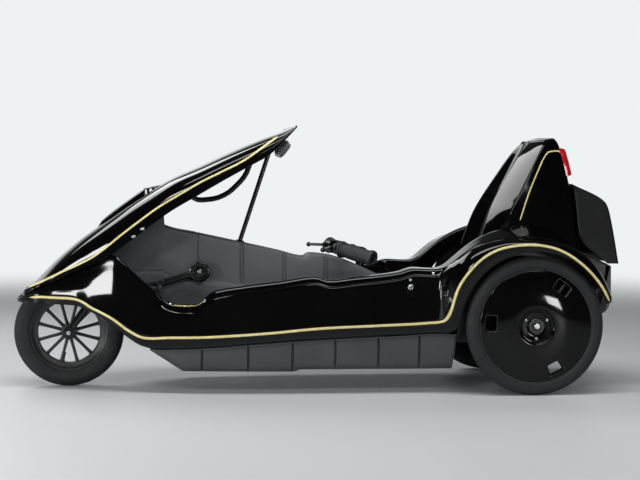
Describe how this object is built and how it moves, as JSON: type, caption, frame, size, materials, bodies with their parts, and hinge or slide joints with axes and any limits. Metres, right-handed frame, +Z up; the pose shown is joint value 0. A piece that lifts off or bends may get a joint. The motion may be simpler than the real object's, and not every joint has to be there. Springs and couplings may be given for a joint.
{
  "type": "three wheeled car",
  "caption": "Low open single-seat tricycle car: wedge hood on a stay, pedal crank, low handlebar beside the seat, covered rear wheels and a lidded boot behind a tall seat back.",
  "frame": {"origin": "on the ground under the middle of the car's box", "axes": "+X to the rear, +Y to the car's right hand side, +Z up"},
  "size_m": [1.744, 0.744, 0.759],
  "materials": {
    "black_shell": "gloss",
    "grey_moulding": "satin",
    "black_plastic": "satin",
    "frame_steel": "satin",
    "bright_steel": "polished",
    "tyre": "matte",
    "grip_rubber": "matte",
    "red_lens": "gloss",
    "smoked_plastic": "gloss"
  },
  "bodies": {
    "car_body": {"chassis_frame": "frame_steel", "lower_tub": "grey_moulding", "toe_board": "grey_moulding", "centre_console": "grey_moulding", "nose_shell": "black_shell", "hood": "black_shell", "hood_pod": "black_shell", "side_shell_left": "black_shell", "side_shell_right": "black_shell", "wheel_arch_left": "black_shell", "wheel_arch_right": "black_shell", "seat": "black_shell", "tail_fairing": "black_shell", "tail_lamp": "red_lens", "rear_body": "black_plastic", "boot_bin": "black_plastic", "battery": "black_plastic", "rear_axle": "bright_steel", "hood_stay": "frame_steel", "hood_handle": "frame_steel", "hood_mirror": "smoked_plastic", "key_switch": "bright_steel"},
    "steering": {"front_fork": "frame_steel", "front_axle": "bright_steel", "front_brake": "frame_steel"},
    "front_wheel": {"front_rim": "black_plastic", "front_tyre": "tyre"},
    "rear_wheel_left": {"rear_rim_left": "black_plastic", "rear_tyre_left": "tyre", "wheel_cover_left": "black_shell"},
    "rear_wheel_right": {"rear_rim_right": "black_plastic", "rear_tyre_right": "tyre", "wheel_cover_right": "black_shell"},
    "handlebar": {"handlebar": "frame_steel", "grip_left": "grip_rubber", "grip_right": "grip_rubber", "brake_lever_left": "frame_steel", "brake_lever_right": "frame_steel"},
    "crank": {"crank": "frame_steel"},
    "pedal_left": {"pedal_left": "black_plastic"},
    "pedal_right": {"pedal_right": "black_plastic"},
    "boot_lid": {"boot_lid": "black_plastic"}
  },
  "joints": [
    {"name": "steer", "type": "hinge", "parent": "car_body", "child": "steering", "pos_m": [-0.69122, 0, 0.14715], "axis": [0.454, 0, 0.891], "range_deg": [-18, 18]},
    {"name": "front_wheel_spin", "type": "hinge", "parent": "steering", "child": "front_wheel", "pos_m": [-0.7135, 0, 0.1585], "axis": [0, 1, 0], "continuous": true},
    {"name": "rear_left_spin", "type": "hinge", "parent": "car_body", "child": "rear_wheel_left", "pos_m": [0.5905, -0.3365, 0.195], "axis": [0, 1, 0], "continuous": true},
    {"name": "rear_right_spin", "type": "hinge", "parent": "car_body", "child": "rear_wheel_right", "pos_m": [0.5905, 0.3365, 0.195], "axis": [0, 1, 0], "continuous": true},
    {"name": "handlebar_turn", "type": "hinge", "parent": "car_body", "child": "handlebar", "pos_m": [0.14, 0, 0.384], "axis": [0, 0, 1], "range_deg": [-18, 18]},
    {"name": "crank_turn", "type": "hinge", "parent": "car_body", "child": "crank", "pos_m": [-0.337, 0, 0.336], "axis": [0, 1, 0], "continuous": true},
    {"name": "pedal_left_turn", "type": "hinge", "parent": "crank", "child": "pedal_left", "pos_m": [-0.48523, -0.132, 0.29068], "axis": [0, 1, 0], "continuous": true},
    {"name": "pedal_right_turn", "type": "hinge", "parent": "crank", "child": "pedal_right", "pos_m": [-0.18877, 0.132, 0.38132], "axis": [0, 1, 0], "continuous": true},
    {"name": "boot_hinge", "type": "hinge", "parent": "car_body", "child": "boot_lid", "pos_m": [0.7366, 0, 0.59], "axis": [0, -1, 0], "range_deg": [0, 90]}
  ],
  "couplings": [
    {"joint": "handlebar_turn", "follows": "steer", "ratio": 1}
  ]
}
